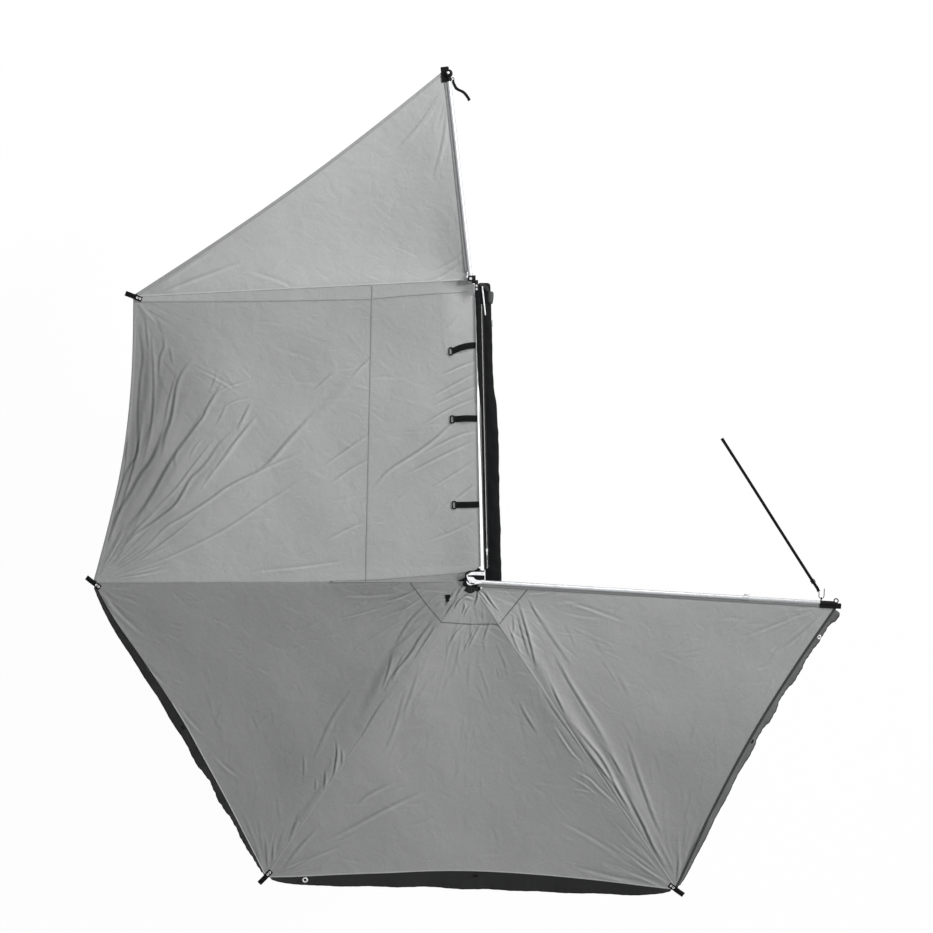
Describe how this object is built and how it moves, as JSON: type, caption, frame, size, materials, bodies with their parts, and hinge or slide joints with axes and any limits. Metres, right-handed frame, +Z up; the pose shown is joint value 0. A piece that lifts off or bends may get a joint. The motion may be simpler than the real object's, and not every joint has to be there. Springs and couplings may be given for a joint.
{
  "type": "vehicle side awning",
  "caption": "Fan awning that opens round a vehicle's side and rear: telescopic arms on two pivots, a base rail with a bag, a fabric canopy with hems, tie straps and guy straps.",
  "frame": {"origin": "centre of the underside of the middle foot, where it rests on a roof bar", "axes": "+X towards the vehicle, +Y along the rail to the vehicle's front, +Z up"},
  "size_m": [6.2916, 6.9026, 0.6092],
  "materials": {
    "aluminium": "satin anodised",
    "cast_aluminium": "as cast, blasted",
    "steel": "zinc plated",
    "black_steel": "satin powder coat",
    "black_plastic": "fine grain",
    "grey_canvas": "coated ripstop canvas",
    "black_fabric": "coated, slightly shiny",
    "webbing": "woven"
  },
  "bodies": {
    "frame": {"base_rail": "aluminium", "front_foot": "cast_aluminium", "middle_foot": "cast_aluminium", "rear_foot": "cast_aluminium", "hub_upper_plate": "aluminium", "hub_lower_plate": "aluminium", "hub_post": "steel", "front_bracket": "black_steel", "front_post": "steel", "travel_bag": "black_fabric", "bag_end_flap": "black_fabric", "bag_zip": "black_plastic", "tie_strap_front": "webbing", "tie_strap_middle": "webbing", "tie_strap_rear": "webbing", "canopy_side": "grey_canvas"},
    "zip": {"zip_slider": "steel"},
    "arm2": {"arm2_knuckle": "cast_aluminium", "arm2_tube": "aluminium", "arm2_collar": "cast_aluminium", "arm2_corner_tab": "webbing", "canopy_front": "grey_canvas"},
    "arm2_pole": {"arm2_extension": "aluminium", "arm2_tip_cap": "black_plastic"},
    "arm1": {"arm1_knuckle": "cast_aluminium", "arm1_tube": "aluminium", "arm1_end_fitting": "black_plastic", "front_guy_strap": "webbing"},
    "arm3": {"arm3_knuckle": "cast_aluminium", "arm3_tube": "aluminium", "arm3_collar": "cast_aluminium", "arm3_corner_tab": "webbing", "canopy_left": "grey_canvas", "valance_left": "black_fabric"},
    "arm3_pole": {"arm3_extension": "aluminium", "arm3_tip_cap": "black_plastic"},
    "arm4": {"arm4_knuckle": "cast_aluminium", "arm4_tube": "aluminium", "arm4_collar": "cast_aluminium", "arm4_corner_tab": "webbing", "canopy_rear": "grey_canvas", "valance_rear": "black_fabric"},
    "arm4_pole": {"arm4_extension": "aluminium", "arm4_tip_cap": "black_plastic"},
    "arm5": {"arm5_knuckle": "cast_aluminium", "arm5_tube": "aluminium", "arm5_collar": "cast_aluminium", "arm5_corner_tab": "webbing", "canopy_right": "grey_canvas", "valance_right": "grey_canvas"},
    "arm5_pole": {"arm5_extension": "aluminium", "arm5_tip_cap": "black_plastic"},
    "arm6": {"arm6_knuckle": "cast_aluminium", "arm6_tube": "aluminium", "arm6_collar": "cast_aluminium"},
    "arm6_pole": {"arm6_extension": "aluminium", "arm6_end_fitting": "black_steel", "rear_guy_strap": "webbing", "rear_guy_hook": "steel", "rear_guy_buckle": "black_plastic"}
  },
  "joints": [
    {"name": "arm2_swing", "type": "hinge", "parent": "frame", "child": "arm2", "pos_m": [-0.1233, 1.245, 0.1858], "axis": [0, 0, 1], "range_deg": [0, 88.4], "deforming": ["canopy_side", "tie_strap_front", "tie_strap_middle", "tie_strap_rear"]},
    {"name": "arm1_swing", "type": "hinge", "parent": "arm2", "child": "arm1", "pos_m": [-0.1233, 1.245, 0.2318], "axis": [0, 0, 1], "range_deg": [0, 86.6], "deforming": ["canopy_front", "front_guy_strap"]},
    {"name": "arm3_swing", "type": "hinge", "parent": "frame", "child": "arm3", "pos_m": [-0.1813, -1.245, -0.006], "axis": [0, 0, 1], "range_deg": [-89.2, 0]},
    {"name": "arm4_swing", "type": "hinge", "parent": "arm3", "child": "arm4", "pos_m": [-0.1813, -1.245, 0.04], "axis": [0, 0, 1], "range_deg": [-55, 0], "deforming": ["canopy_left", "valance_left"]},
    {"name": "arm5_swing", "type": "hinge", "parent": "arm4", "child": "arm5", "pos_m": [-0.1813, -1.245, 0.086], "axis": [0, 0, 1], "range_deg": [-68.4, 0], "deforming": ["canopy_rear", "valance_rear"]},
    {"name": "arm6_swing", "type": "hinge", "parent": "arm5", "child": "arm6", "pos_m": [-0.1813, -1.245, 0.132], "axis": [0, 0, 1], "range_deg": [-52.8, 0], "deforming": ["canopy_right", "valance_right", "rear_guy_strap"]},
    {"name": "arm2_pole_slide", "type": "slide", "parent": "arm2", "child": "arm2_pole", "axis": [-0.9996, -0.0279, 0], "range_m": [-0.5, 0]},
    {"name": "arm3_pole_slide", "type": "slide", "parent": "arm3", "child": "arm3_pole", "axis": [-0.9999, 0.0157, 0], "range_m": [-0.55, 0]},
    {"name": "arm4_pole_slide", "type": "slide", "parent": "arm4", "child": "arm4_pole", "axis": [-0.5864, -0.81, 0], "range_m": [-0.55, 0]},
    {"name": "arm5_pole_slide", "type": "slide", "parent": "arm5", "child": "arm5_pole", "axis": [0.5373, -0.8434, 0], "range_m": [-0.55, 0]},
    {"name": "arm6_pole_slide", "type": "slide", "parent": "arm6", "child": "arm6_pole", "axis": [0.9966, -0.0819, 0], "range_m": [-0.55, 0]},
    {"name": "zip_slide", "type": "slide", "parent": "frame", "child": "zip", "axis": [0, 1, 0], "range_m": [-0.11, 2]}
  ],
  "couplings": [
    {"joint": "arm3_swing", "follows": "arm2_swing", "ratio": -1.008}
  ]
}
